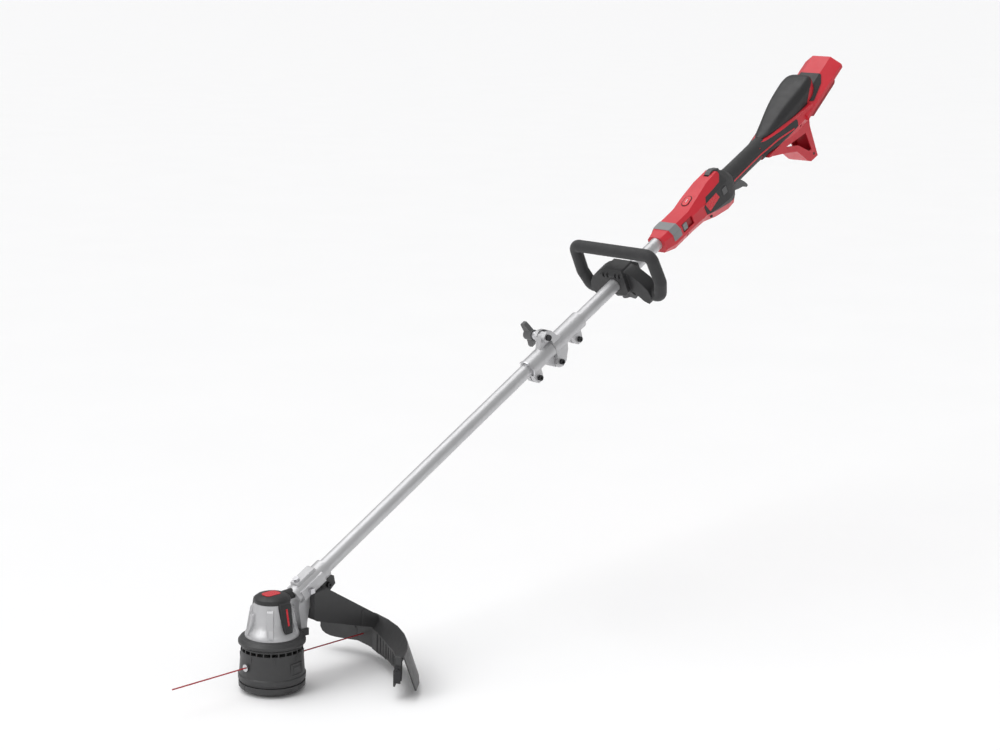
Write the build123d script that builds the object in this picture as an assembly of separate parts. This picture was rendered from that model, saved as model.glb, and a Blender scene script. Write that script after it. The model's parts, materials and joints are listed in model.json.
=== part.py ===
from build123d import *
import os
from math import cos, sin, tan, radians

# Battery string trimmer with a folding shaft.
# Head frame: Z is the cutting head's spin axis and z = 0 is the underside of the spool cover.
# Shaft frame: x runs up the tube from the head's axis, z is square to it, y is shared.
# Every solid is saved in the row frame, whose origin is the underside of the bump knob.

# ---------------------------------------------------------------- driving dimensions, mm
KNOB_DROP = 6.0            # bump knob stands this far below the spool cover
SHAFT_ANGLE = 29.4         # rise of the tube above the cutting plane
SHAFT_HEIGHT = 115.0       # where the tube's axis meets the head's axis
TUBE_R = 12.7
TUBE_WALL = 1.6
FIT = 0.3                  # clearance between pieces that move past each other
RUN = 0.05                 # radial clearance of a shaft in its bore

RIM_R = 55.0               # spool cover and drum
DRUM_TOP = 72.0
LINE_Z = 42.0              # plane of the cutting line
LINE_R = 1.2
CUT_RADIUS = 203.0         # 16 inch cutting width
SHOULDER_TOP = 87.0
HOUSING_TOP = 144.0
CAP_TOP = 157.0

TUBE_START = 68.0          # distances along the shaft from the head's axis
CLAMP_END = 128.0
FOLD_SEAM = 755.0
HINGE_X, HINGE_Z = 759.0, -31.0
LATCH_X, LATCH_Z = 750.0, 30.0
COUPLER_START, COUPLER_END = 690.0, 846.0
D_HANDLE_X = 983.0
NOSE_X = 1100.0
TRIGGER_PIVOT = (1345.0, -19.0)
TUBE_END = 1210.0          # the tube ends inside the rear handle
GRIP_START = 1334.0
GRIP_Z = -6.5              # grip's centre line sits a little under the tube's axis
GRIP_H, GRIP_W = 21.0, 18.0
TAIL_X = 1721.0
RAIL_SLOPE = tan(radians(14.0))   # battery rails rise against the shaft

ROW = Pos(0, 0, KNOB_DROP)
SHAFT = ROW * Pos(0, 0, SHAFT_HEIGHT) * Rot(0, -SHAFT_ANGLE, 0)

os.makedirs("parts", exist_ok=True)


# ---------------------------------------------------------------- helpers
def save(node, *solids, frame=ROW):
    """Write one node; several solids make a group."""
    placed = [frame * solid for solid in solids]
    shape = placed[0] if len(placed) == 1 else Compound(children=placed)
    export_step(shape, f"parts/{node}.step")


def outline(points):
    return make_face(Polyline(*points, close=True))


def plate(points, low, high):
    """An x-z outline extruded along y from low to high."""
    return extrude(Plane.XZ.offset(-high) * outline(points), high - low)


def turned(points):
    """An r-z outline revolved about Z."""
    return revolve(Plane.XZ * outline(points), Axis.Z)


def rod(radius, length, at, along=(0, 0, 1)):
    plane = Plane(origin=at, z_dir=along)
    return plane * Cylinder(radius, length, align=(Align.CENTER, Align.CENTER, Align.MIN))


def pipe(outer, inner, length, at, along=(0, 0, 1)):
    return rod(outer, length, at, along) - rod(inner, length, at, along)


def hexagon(across, length, at, along=(0, 0, 1)):
    plane = Plane(origin=at, z_dir=along)
    return extrude(plane * RegularPolygon(across / 2, 6, major_radius=False), length)


def block(low, high):
    """A box between two opposite corners."""
    size = [h - l for l, h in zip(low, high)]
    mid = [(h + l) / 2 for l, h in zip(low, high)]
    return Pos(*mid) * Box(*size)


def section(x, top, top_y, high, side_y, low, bottom, bottom_y, inset=0.0):
    """Eight-sided section square to the shaft, drawn in smaller by inset."""
    half = [
        (top_y - inset * 0.6, top - inset),
        (side_y - inset, high - inset * 0.3),
        (side_y - inset, low + inset * 0.3),
        (bottom_y - inset * 0.6, bottom + inset),
    ]
    points = half + [(-y, z) for y, z in reversed(half)]
    return Plane.YZ.offset(x) * outline(points)


def socket_screw(radius, head_r, head_h, length, at, along):
    """A cap screw: shank along the direction, head behind the point, hex socket in it."""
    back = tuple(-c for c in along)
    screw = rod(radius, length, at, along) + rod(head_r, head_h, at, back)
    tip = tuple(p + b * head_h * 0.45 for p, b in zip(at, back))
    return screw - hexagon(radius * 1.3, head_h, tip, back)


# ---------------------------------------------------------------- cutting head
BARREL = [(44.5, 90.5), (42.0, 96), (36.5, 103), (33.8, 112), (32.4, 125), (29.5, HOUSING_TOP)]  # r, z


def make_drum():
    drum = turned([
        (6.0, 38), (6.0, 50), (47.5, 50), (47.5, DRUM_TOP), (50.8, DRUM_TOP), (54.0, 25),
        (55.8, 23), (55.8, 16), (53.6, 15), (53.4, 12), (52.2, 12), (50.8, 25), (47.6, 47),
        (9.0, 47), (9.0, 38),
    ])
    slots = 26
    for i in range(slots):
        slot = block((44, -5.1, 64), (56, 5.1, 69.5))
        drum -= Rot(0, 0, i * 360 / slots) * slot
    for angle in (0, 180):
        drum -= Rot(0, 0, angle) * rod(4.2, 20, (44, 0, LINE_Z), (1, 0, 0))
    return drum


def make_eyelets():
    eyelet = pipe(4.2, 1.5, 6.5, (50.4, 0, LINE_Z), (1, 0, 0))
    eyelet += pipe(6.2, 1.5, 2.0, (55.0, 0, LINE_Z), (1, 0, 0))
    inside = turned([(0, 30), (53.4, 30), (51.8, 50), (0, 50)])
    flange = pipe(6.2, 4.2, 4.6, (50.4, 0, LINE_Z), (1, 0, 0))
    eyelet -= flange & inside
    return eyelet, Rot(0, 0, 180) * eyelet


def make_cutting_head():
    knob = turned([
        (0, -KNOB_DROP), (19, -KNOB_DROP), (24.5, -1.5), (24.5, 7), (21.5, 7), (21.5, -2), (8.9, -2),
        (8.9, 9), (0, 9),
    ])
    save("bump_knob", knob)
    save("bump_spring", make_coil(11.2, 0.8, -1.9, 15.9, 4.5))
    mouth = 25.0 + FIT
    cover = turned([
        (mouth, 0), (52, 0), (RIM_R, 3), (RIM_R, 11), (RIM_R - 3, 11), (RIM_R - 3, 4), (mouth, 4),
    ])
    notches = 3
    for i in range(notches):
        cover -= Rot(0, 0, 20 + i * 360 / notches) * block((RIM_R - 1.2, -6, 3), (RIM_R + 2, 6, 8))
    tabs = [Rot(0, 0, a) * block((47.2, -8, 4), (48.8, 8, 16)) for a in (60, 180, 300)]
    for tab in tabs:
        cover += tab
    save("spool_cover", cover)
    drum = make_drum()
    save("drum", drum)
    save("line_eyelets", *make_eyelets())
    spool = turned([
        (9.0 + RUN, 16), (43, 16), (43, 18.5), (20, 18.5), (20, 43.5), (43, 43.5), (43, 46), (9.0 + RUN, 46),
    ])
    save("spool", spool)
    save("wound_line", turned([(20, 18.5), (39, 18.5), (40.5, 24), (40.5, 38), (39, 43.5), (20, 43.5)]))
    save("arbor_nut", hexagon(15, 9, (0, 0, 28)) - rod(5.0, 9, (0, 0, 28)))
    for node, angle in (("line_front", 180), ("line_rear", 0)):
        save(node, Rot(0, 0, angle) * rod(LINE_R, CUT_RADIUS - 44, (44, 0, LINE_Z), (1, 0, 0)))
    shaft = rod(5.0, 112, (0, 0, 28)) + rod(4.0, 0.6, (0, 0, 140))
    save("motor_shaft", shaft)
    save("rotor", pipe(17.5, 5.0, 32, (0, 0, 94)))


def make_coil(radius, wire, low, high, turns):
    """A round-wire compression spring between two heights."""
    path = Helix(pitch=(high - low - 2 * wire) / turns, height=high - low - 2 * wire, radius=radius)
    start = path @ 0
    profile = Plane(origin=start, z_dir=path % 0) * Circle(wire)
    spring = sweep(profile, path=path, is_frenet=True)
    return Pos(0, 0, low + wire) * spring


# ---------------------------------------------------------------- motor and its covers
def motor_body():
    """The housing's outer form without its cavity."""
    body = turned([(0, SHOULDER_TOP), (44.5, SHOULDER_TOP), *BARREL, (0, HOUSING_TOP)])
    for angle in (45, 135, 225, 315):
        rib = plate([(20, 91), (44.2, 91), (41.8, 97), (35.5, 134), (32, 137), (20, 137)], -5, 5)
        body += Rot(0, 0, angle) * rib
    return body


def make_motor():
    wall = 2.5
    body = motor_body()
    inner = [(r - wall, z - 1.5) for r, z in BARREL[:-1]]
    cavity = turned([(0, SHOULDER_TOP), (42.0, SHOULDER_TOP), *inner, (27.2, 141), (0, 141)])
    housing = body - cavity + pipe(11.0, 8.0, 6, (0, 0, 135)) - rod(5.4, 6, (0, 0, 140))
    save("motor_housing", housing)
    ring = turned([
        (8.0, 80), (42, 80), (42, 76), (46, 73.5), (53, 73.5), (55.5, 76), (55.5, 80), (52, 84.5),
        (45.5, SHOULDER_TOP), (8.0, SHOULDER_TOP),
    ])
    ring += block((40, -16, 75), (66, 16, SHOULDER_TOP)) - rod(43, 30, (0, 0, 60))
    save("shoulder_ring", ring)
    save("stator", pipe(29.5, 19.0, 22, (0, 0, 99)))
    windings = [pipe(28.0, 19.5, 5.0, (0, 0, 94)), pipe(28.0, 19.5, 5.0, (0, 0, 121))]
    save("windings", *windings)
    bearings = [pipe(8.0, 5.0 + RUN, 6, (0, 0, z)) for z in (81, 135)]
    save("motor_bearings", *bearings)
    return body


def make_cap(body):
    cap = turned([
        (0, HOUSING_TOP), (30, HOUSING_TOP), (30.5, 148), (29.5, 151), (24, 155), (14, CAP_TOP), (0, CAP_TOP),
    ])
    tongue_out = [(28, 149), (34.5, 146), (36.5, 139), (44.5, 101), (43.5, 98.5), (37, 98.5), (28, 138)]
    wide = plate(tongue_out, -10.5, 10.5)
    taper_line = [(-10.5, 150), (10.5, 150), (10.5, 138), (6.5, 98), (-6.5, 98), (-10.5, 138)]
    taper = extrude(Plane.YZ.offset(20) * outline(taper_line), 30)
    tongue = (wide & taper) - body
    stripe = plate([(36.0, 138.5), (37.3, 138.7), (43.0, 111.4), (41.8, 111.0)], -1.7, 1.7)
    stripes = []
    for angle in (-90, 90):
        cap += Rot(0, 0, angle) * tongue
        stripes.append(Rot(0, 0, angle) * stripe)
    for stripe in stripes:
        cap -= stripe
    badge = Pos(-2, 0, 156.2) * extrude(Rectangle(30, 22), 1.4)
    badge = fillet(badge.edges().filter_by(Axis.Z), 8)
    elbow = rod(9.0, 26, (20, 0, 147), (1, 0, 0.06)) + Pos(46, 0, 148.5) * Sphere(9.0)
    elbow -= body
    cap = cap - badge - elbow
    save("motor_cap", cap)
    save("cap_badge", badge)
    save("cap_stripes", *stripes)
    return elbow


def tube_clearance(radius, start, length):
    """The tube's space in the head frame, for cutting what holds it."""
    return in_head(rod(radius, length, (start, 0, 0), (1, 0, 0)))


def in_head(shape):
    """Move a shaft-frame shape into the head frame."""
    return Pos(0, 0, SHAFT_HEIGHT) * Rot(0, -SHAFT_ANGLE, 0) * shape


def make_bracket(elbow):
    arm = plate([
        (52, SHOULDER_TOP), (50.5, 100), (46, 126), (50, 150), (58, 158), (96, 168), (92, 150), (76, 136),
        (69, 118), (65, 98), (64, SHOULDER_TOP),
    ], -13, 13)
    sleeve = in_head(rod(16.6, CLAMP_END - 52, (52, 0, 0), (1, 0, 0)))
    panel = in_head(plate([(64, 0), (64, 19), (66, 20.5), (106, 20.5), (108, 19), (108, 0)], -9, 9))
    near_panel = in_head(block((60, -18.5, -9), (112, 18.5, 9)))
    bracket = arm + sleeve + panel + near_panel
    bracket -= tube_clearance(TUBE_R, TUBE_START, 100)
    bracket -= Pos(46, 0, 148.5) * Sphere(9.0)
    bolts = []
    for side in (-1, 1):
        at = (77, 18.5 * side, -2)
        inward = (0, -side, 0)
        screw = rod(2.5, 7.4, at, inward)
        screw += Pos(77, (18.5 + 2.5) * side, -2) * Rot(0, 20, 0) * Box(9, 5, 9)
        bolts.append(in_head(screw))
    top_bolt = rod(3.0, 7.7, (72, 0, 20.5), (0, 0, -1)) + hexagon(10, 5, (72, 0, 20.5))
    bolts.append(in_head(top_bolt))
    for bolt in bolts:
        bracket -= bolt
    save("head_bracket", bracket)
    save("bracket_bolts", *bolts)
    save("cable_elbow", elbow - bracket)
    return bracket, bolts


# ---------------------------------------------------------------- guard
def wing_section(angle):
    """One radial section of the guard's curved band: outer skirt, sloping deck, inner wall."""
    near = max(0.0, -angle) / 55.0
    far = max(0.0, angle) / 28.0
    ridge_z = 77 - 9 * near - 6 * far
    deck_z = 62 - 20 * min(1.0, near * 2.5) - 4 * far
    inner_z = 24 - 9 * min(1.0, near * 4) + 22 * far * far
    skirt_r = 240 + 4 * near - 6 * far
    skirt_z = 20 - 9 * min(1.0, near * 1.4) + 12 * far
    t = 3.0
    points = [
        (skirt_r, skirt_z), (223, ridge_z), (205, deck_z), (205, inner_z),
        (205 + t, inner_z), (205 + t, deck_z - t), (222.5, ridge_z - 1.6 * t), (skirt_r - t, skirt_z),
    ]
    a = radians(angle)
    plane = Plane(origin=(0, 0, 0), x_dir=(cos(a), sin(a), 0), z_dir=(sin(a), -cos(a), 0))
    return plane * outline(points)


def make_guard(bracket, bolts):
    angles = [-57, -48, -39, -30, -21, -12, -3, 6, 14, 21, 26]
    band = loft([wing_section(a) for a in angles], ruled=True)
    spine_top = [(70, 146), (97, 151), (150, 118), (214, 79)]
    spine = plate(spine_top + [(218, 62), (206, 58), (166, 70), (76, 98), (70, 102)], -25, 25)
    hollow_line = [(73, 90), (73, 140), (97, 146), (150, 113), (213, 74), (213, 40), (166, 50), (76, 88)]
    hollow = plate(hollow_line, -22, 22)
    guard = spine - hollow + band
    guard -= plate([(150, 60), (150, 90), (204.9, 60), (204.9, 10), (150, 10)], -21.9, 21.9)
    lug = in_head(plate([(100, -17.5), (124, -14), (134, -20), (130, -34), (110, -38), (96, -30)], -9, 9))
    guard += lug
    leg = Rot(0, 0, -57) * block((209, -2, 26), (219, 5, 66))
    guard += leg
    guard -= bracket
    guard -= tube_clearance(TUBE_R + 0.02, TUBE_START, 200)
    for bolt in bolts:
        guard -= bolt
    blade = Rot(0, 0, -57) * block((207.4, -3.6, 22), (218, -2, 52))
    blade -= Rot(0, 0, -57) * rod(2.0, 6, (213, -4.6, 44), (0, 1, 0))
    blade_screw = Rot(0, 0, -57) * socket_screw(2.0, 3.6, 2.0, 6, (213, -3.6, 44), (0, 1, 0))
    guard -= blade_screw
    lug_screw = in_head(socket_screw(3.0, 5.0, 4.0, 17, (117, -9, -26), (0, 1, 0)))
    guard -= lug_screw
    save("guard_shell", guard)
    save("guard_blade", blade - blade_screw)
    save("guard_screws", blade_screw, lug_screw)


# ---------------------------------------------------------------- tubes, leads and the folding coupler
def make_tubes():
    spans = {"lower_tube": (TUBE_START, FOLD_SEAM - 2), "upper_tube": (FOLD_SEAM + 2, TUBE_END)}
    for node, (start, end) in spans.items():
        tube = pipe(TUBE_R, TUBE_R - TUBE_WALL, end - start, (start, 0, 0), (1, 0, 0))
        if node == "lower_tube":
            for side in (-1, 1):
                tube -= rod(2.5, 10, (77, 20 * side, -2), (0, -side, 0))
        save(node, tube, frame=SHAFT)
    plug = rod(10.9, 26, (FOLD_SEAM - 28, 0, 0), (1, 0, 0))
    lead = rod(3.6, FOLD_SEAM - 28 - TUBE_START, (TUBE_START, 0, 0), (1, 0, 0))
    save("lower_lead", lead + plug, frame=SHAFT)
    socket = rod(10.9, 26, (FOLD_SEAM + 2, 0, 0), (1, 0, 0))
    lead = rod(3.6, TUBE_END - 6 - FOLD_SEAM - 28, (FOLD_SEAM + 28, 0, 0), (1, 0, 0))
    save("upper_lead", lead + socket, frame=SHAFT)


def clamp_ear(x, thick):
    """Pinch ears under a sleeve, split on the middle plane."""
    line = [(x - 12, -12), (x + 12, -12), (x + 9, -30), (x + 3, -34), (x - 6, -33), (x - 10, -27)]
    ear = plate(line, -thick, thick)
    return ear - block((x - 20, -1.2, -40), (x + 20, 1.2, -10))


def cross_bolt(x, z, half, radius=3.0):
    """A lateral bolt with a socket head on the near side and a nut on the far side."""
    bolt = socket_screw(radius, 5.2, 5.0, 2 * half + 6, (x, -half, z), (0, 1, 0))
    return bolt + (hexagon(10, 4.5, (x, half, z), (0, 1, 0)))


def make_coupler():
    sleeve_r = 16.8
    seam_gap = 0.5
    # upper casting: sleeve, hinge ears below, latch ears above
    upper = rod(sleeve_r, COUPLER_END - FOLD_SEAM - seam_gap, (FOLD_SEAM + seam_gap, 0, 0), (1, 0, 0))
    upper += clamp_ear(821, 11)
    ear_line = [(757, -8), (790, -8), (786, -20), (772, -38), (760, -42), (750, -38), (748, -30), (754, -22)]
    top_ear_line = [(758, 8), (786, 8), (772, 20), (764, 36), (752, 41), (742, 36), (741, 25), (756, 20)]
    upper += plate(ear_line, -14, 14) + plate(top_ear_line, -13, 13)
    upper -= block((700, -7, -45), (778, 7, -16.9))
    upper -= block((700, -6, 17.0), (764, 6, 45))
    upper -= block((700, -20, -16.9), (FOLD_SEAM + seam_gap, 20, 17))
    upper -= rod(TUBE_R, 120, (FOLD_SEAM, 0, 0), (1, 0, 0))
    # lower casting: sleeve, hinge tongue, latch tongue with a slot open towards the seam
    lower = rod(sleeve_r, FOLD_SEAM - seam_gap - COUPLER_START, (COUPLER_START, 0, 0), (1, 0, 0))
    lower += clamp_ear(700, 11)
    tongue_line = [
        (722, -10), (753, -10), (753, -17.5), (764, -24), (766, -36), (758, -40), (748, -37), (736, -24),
    ]
    top_tongue_line = [(724, 10), (752, 10), (753, 17.5), (757, 22), (757, 37), (745, 37), (738, 30)]
    lower += plate(tongue_line, -6.7, 6.7) + plate(top_tongue_line, -5.7, 5.7)
    lower -= rod(TUBE_R, 120, (FOLD_SEAM - 120, 0, 0), (1, 0, 0))
    lower -= rod(4.0 + RUN, 40, (HINGE_X, -20, HINGE_Z), (0, 1, 0))
    upper -= rod(4.0, 40, (HINGE_X, -20, HINGE_Z), (0, 1, 0))
    # the latch stud's slot follows the fold's arc and opens at the tongue's end
    slot = block((LATCH_X - 4.4, -8, LATCH_Z - 4.4), (LATCH_X + 30, 8, LATCH_Z + 6.5))
    slot += rod(4.4, 16, (LATCH_X, -8, LATCH_Z), (0, 1, 0))
    lower -= slot
    upper -= rod(4.0 + RUN, 40, (LATCH_X, -20, LATCH_Z), (0, 1, 0))
    hinge_bolt = cross_bolt(HINGE_X, HINGE_Z, 14, 4.0)
    lower_bolt = cross_bolt(700, -25, 11)
    upper_bolt = cross_bolt(821, -25, 11)
    lower = lower - lower_bolt
    upper = upper - upper_bolt
    save("coupler_lower", lower, frame=SHAFT)
    save("coupler_upper", upper, frame=SHAFT)
    save("hinge_bolt", hinge_bolt, frame=SHAFT)
    save("lower_clamp_bolt", lower_bolt, frame=SHAFT)
    save("upper_clamp_bolt", upper_bolt, frame=SHAFT)
    stud = rod(4.0, 36, (LATCH_X, -17, LATCH_Z), (0, 1, 0))
    stud += rod(5.2, 3.7, (LATCH_X, -17, LATCH_Z), (0, 1, 0))
    collar = pipe(8.0, 4.0, 7, (LATCH_X, 13 + FIT, LATCH_Z), (0, 1, 0))
    save("latch_bolt", stud + collar, frame=SHAFT)
    knob = wing_knob(52, 19)
    save("latch_knob", Pos(LATCH_X, 20.5, LATCH_Z) * Rot(-90, 0, 0) * knob, frame=SHAFT)


def wing_knob(span, thick):
    """A two-lobed wing knob on local Z, wings along local Y, sitting on z = 0."""
    half = span / 2
    hub = Cylinder(10, thick, align=(Align.CENTER, Align.CENTER, Align.MIN))
    wing = extrude(Plane.YZ.offset(-4.5) * outline([
        (-half, thick * 0.62), (-half, thick), (-half + 3, thick + 2), (-9, thick), (9, thick),
        (half - 3, thick + 2), (half, thick), (half, thick * 0.62), (12, 3), (6, 0), (-6, 0), (-12, 3),
    ]), 9)
    return fillet((hub + wing).edges().filter_by(Axis.X), 1.5) - Cylinder(4.0, 40)


# ---------------------------------------------------------------- front D handle
def make_d_handle():
    x = D_HANDLE_X
    bar_r = 12.0
    half_loop = [(57.0, -14.0), (81.0, -40.0), (96.5, 4.0), (94.0, 62.5)]
    left_side = [(x, -y, z) for y, z in half_loop]
    right_side = [(x, y, z) for y, z in reversed(half_loop)]
    path = FilletPolyline(*left_side, *right_side, radius=13)
    profile = Plane(origin=path @ 0, z_dir=path % 0) * Circle(bar_r)
    loop = sweep(profile, path=path)
    clamp_line = [(x - 24, -22), (x + 26, -22), (x + 26, 22), (x + 18, 30), (x - 16, 30), (x - 24, 22)]
    clamp = plate(clamp_line, -30, 30)
    clamp = chamfer(clamp.edges().filter_by(Axis.X), 9)
    arm = [
        (20, 28), (30, 26), (44, 18), (62, 3), (71, -10), (74, -24),
        (64, -42), (52, -37), (34, -19), (20, -21),
    ]
    for side in (-1, 1):
        face = Plane.YZ.offset(x - 14) * outline([(side * y, z) for y, z in arm])
        clamp += extrude(face, 28)
    clamp -= rod(TUBE_R + FIT, 80, (x - 40, 0, 0), (1, 0, 0))
    for y in (-19.2, -9.6, 9.6, 19.2):
        clamp -= block((x - 25, y - 2, 16), (x - 20, y + 2, 26))
    loop -= clamp
    stem_hole = rod(4.0 + RUN, 40, (x, 0, -53), (0, 0, 1))
    clamp -= stem_hole & block((x - 10, -10, -60), (x + 10, 10, -13.5))
    knob = Pos(x, 0, -22 - FIT) * Rot(180, 0, 0) * wing_knob(50, 18)
    save("handle_loop", loop, frame=SHAFT)
    save("handle_clamp", clamp, frame=SHAFT)
    save("handle_knob", knob + rod(4.0, 27, (x, 0, -41), (0, 0, 1)), frame=SHAFT)


# ---------------------------------------------------------------- rear handle
FRONT = [  # x, top, top_y, high, side_y, low, bottom, bottom_y
    (1100, 13.5, 13, 6, 21, -12, -20, 12),
    (1126, 17.5, 19, 7, 27, -14, -27, 17),
    (1188, 17.5, 19, 7, 27, -14, -27, 17),
    (1223, 26, 18, 10, 29, -14, -29, 17),
    (1262, 34, 15, 13, 30, -20, -43, 15),
    (1303, 36, 13, 14, 29, -24, -52, 14),
    (1326, 23, 11, 8, 23, -24, -52, 12),
    (1336, 12, 10, 4, 17, -20, -46, 9),
]
REAR = [
    (1440, 9, 9, 3, 16.5, -16, -24, 12),
    (1500, 11, 22, 6, 27, -13, -26, 22),
    (1560, 12, 30, 9, 37, -9, -27, 25),
    (1600, 14, 36, 14, 44, -2, -24, 26),
]


def hood_section(x, inset=0.0):
    rise = (x - 1708) * RAIL_SLOPE
    return section(x, 48 + rise, 22, 32 + rise, 45, 24 + rise, 22 + rise, 43, inset)


def skin(rows, inset):
    """Ruled body through the rows; a cavity also stops short of both end walls."""
    first, last = rows[0][0], rows[-1][0]
    sections = []
    for x, *shape in rows:
        end = inset if x == first else -inset if x == last else 0.0
        sections.append(section(x + end, *shape, inset))
    return loft(sections, ruled=True)


def shell_form(inset):
    """Outer forms at inset 0, cavities at the wall thickness."""
    core_h, core_w = GRIP_H - 4 - inset, GRIP_W - 4 - inset
    core = extrude(Plane.YZ.offset(1320) * Pos(0, GRIP_Z, 0) * Ellipse(core_w, core_h), 1450 - 1320)
    hood = loft([hood_section(x, inset) for x in (1575 + inset, 1650, TAIL_X - inset)], ruled=True)
    return skin(FRONT, inset), core, skin(REAR, inset), hood


COVER = [  # teardrop cover, same columns
    (1461, 15, 5, 13, 8, 11, 10, 7),
    (1482, 20, 10.7, 15, 17, 11, 10, 15),
    (1542, 41, 21.8, 26, 29, 12, 10, 27),
    (1596, 53, 27.5, 38, 35, 16, 12, 32),
    (1622, 57, 27.5, 42, 33, 22, 14, 30),
    (1638, 55, 23, 43, 27, 26, 14, 24),
    (1646, 46, 17, 40, 20, 28, 14, 18),
]


FOOT = [
    (1450, -24), (1462, -28), (1482, -37), (1504, -47), (1537, -64), (1562, -102), (1571, -109), (1596, -110),
    (1597, -39), (1602, -22), (1600, -4), (1549, -12), (1500, -20), (1456, -21),
]
FOOT_HOLE = [(1579, -45), (1583, -86), (1574, -86), (1545, -54), (1508, -35)]


SCREWS = [  # x, z, half length of the boss and its screw
    (1165, -20, 20),
    (1242, -28, 24),
    (1318, -36, 20),
    (1560, -15, 30),
    (1586, -99, 24.4),
]


def make_shells():
    wall = 2.5
    front, core, rear, hood = shell_form(0.0)
    foot = plate(FOOT, -24.4, 24.4)
    outer = front + core + rear + hood + foot
    in_front, in_core, in_rear, in_hood = shell_form(wall)
    foot_face = offset(outline(FOOT), -3.0)
    in_foot = extrude(Plane.XZ.offset(-21.6) * foot_face, 43.2)
    shells = outer - in_front - in_core - in_rear - in_hood - in_foot
    shells -= plate(FOOT_HOLE, -30, 30)
    for x, z, half in SCREWS:
        shells += rod(4.0, 2 * half, (x, -half, z), (0, 1, 0)) & outer
    shells -= rod(TUBE_R, 140, (NOSE_X - 10, 0, 0), (1, 0, 0))
    return shells


def grip_form(extra=0.0):
    """The rubber grip's outer sleeve, flared a little at both ends."""
    stations = [(GRIP_START, 1.0), (1350, 0.4), (1400, 0), (1440, 0), (1462, 0.5)]
    faces = []
    for x, flare in stations:
        oval = Ellipse(GRIP_W + flare + extra, GRIP_H + flare + extra)
        faces.append(Plane.YZ.offset(x) * Pos(0, GRIP_Z, 0) * oval)
    return loft(faces)


def make_overmould():
    """Grip rubber with its cheeks and wedges, its pinstripes, and the badges set in it."""
    front, core, rear, hood = shell_form(0.0)
    foot = plate(FOOT, -24.4, 24.4)
    solid = front + core + rear + foot
    proud_front = skin(FRONT[3:], -0.8)
    proud_rear = skin(REAR, -0.8)
    cheek_line = [
        (1224, 4), (1240, 18), (1290, 21), (1304, 30), (1312, 45), (1340, 45), (1340, -40), (1318, -40),
        (1252, -22), (1226, -13),
    ]
    cheeks = plate(cheek_line, -40, 40) & proud_front
    wedge_line = [
        (1441, 12), (1462, 7.5), (1500, 6.5), (1548, 7), (1551, 3), (1549, -9), (1520, -17), (1490, -20),
        (1441, -25),
    ]
    wedges = plate(wedge_line, -40, 40) & proud_rear
    overmould = grip_form() + cheeks + wedges - solid
    badges = plate([(1228, 9), (1266, 12), (1272, -2), (1236, -12)], -40, 40)
    badges = (badges & skin(FRONT[3:], -1.2)) - solid
    stripe_line = [
        (1338, -7), (1450, -7), (1490, -4), (1538, -7), (1537, -10), (1490, -7.5), (1450, -10), (1338, -10),
    ]
    stripes = plate(stripe_line, -40, 40) & (grip_form(0.4) + skin(REAR, -1.2))
    stripes = stripes - front - grip_form(-1.2) - skin(REAR, -0.3)
    return overmould - badges - stripes, stripes, badges


def make_controls(shells, overmould):
    """Cut the control openings and return the pieces that sit in them."""
    power_frame = Pos(1213, 0, 23.2) * Rot(0, -13, 0)
    shells -= power_frame * extrude(SlotOverall(24.8, 14.8), 20, both=True)
    power = power_frame * Pos(0, 0, -6) * extrude(SlotOverall(24, 14), 7.6)
    shells -= block((1152, -40, -7), (1187, -20, 10))
    slider = block((1156, -26.4, -5), (1168, -21.0, 8))
    button_hole = block((1283.7, -40, -6.3), (1298.3, -15, 8.3))
    shells -= button_hole
    overmould -= button_hole
    side_button = block((1284, -31.4, -6), (1298, -22, 8))
    lever_slot = block((1284, -6.4, 20), (1326, 6.4, 45))
    shells -= lever_slot
    overmould -= lever_slot
    lever_line = [(1290, 28), (1288, 36), (1293, 39.5), (1304, 40), (1319, 33), (1320, 29), (1306, 25)]
    lever = plate(lever_line, -6, 6)
    lever -= rod(1.5 + RUN, 20, (1296, -10, 30), (0, 1, 0))
    lever_pin = rod(1.5, 18, (1296, -9, 30), (0, 1, 0))
    trigger_slot = block((1337, -6.5, -60), (1389, 6.5, -12))
    shells -= trigger_slot
    overmould -= trigger_slot
    trigger = plate([
        (1341, -15), (1350, -15), (1357, -23), (1372, -28), (1379, -36), (1385, -45), (1387, -51),
        (1382, -52),
        (1371, -44), (1358, -41), (1347, -37), (1341, -28),
    ], -6, 6)
    x, z = TRIGGER_PIVOT
    trigger -= rod(2.0 + RUN, 20, (x, -10, z), (0, 1, 0))
    pin = rod(2.0, 24, (x, -12, z), (0, 1, 0))
    return shells, overmould, power, slider, side_button, lever, lever_pin, trigger, pin


def make_battery_bay(solid):
    """Slide rails under the hood, and the terminal block at their front."""
    rails = []
    for side in (-1, 1):
        line = [(1598, -3.5), (1598, -16), (1602, -18), (1692, 4.5), (1696, 9), (1696, 19.5)]
        wall = plate(line, 31.0, 37.0)
        lip = plate([(1598, -12), (1598, -16), (1602, -18), (1692, 4.5), (1695, 8.5)], 26.0, 31.0)
        rail = (wall + lip) - solid
        rails.append(rail if side > 0 else mirror(rail, Plane.XZ))
    block_line = [(1600, -21), (1612, -21), (1616, -3), (1616, 1.6), (1600, -2.4)]
    terminal = plate(block_line, -18, 18) - solid
    for y in (-12, -4, 4, 12):
        terminal -= block((1606, y - 1, -24), (1620, y + 1, -8))
    return rails, terminal


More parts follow.
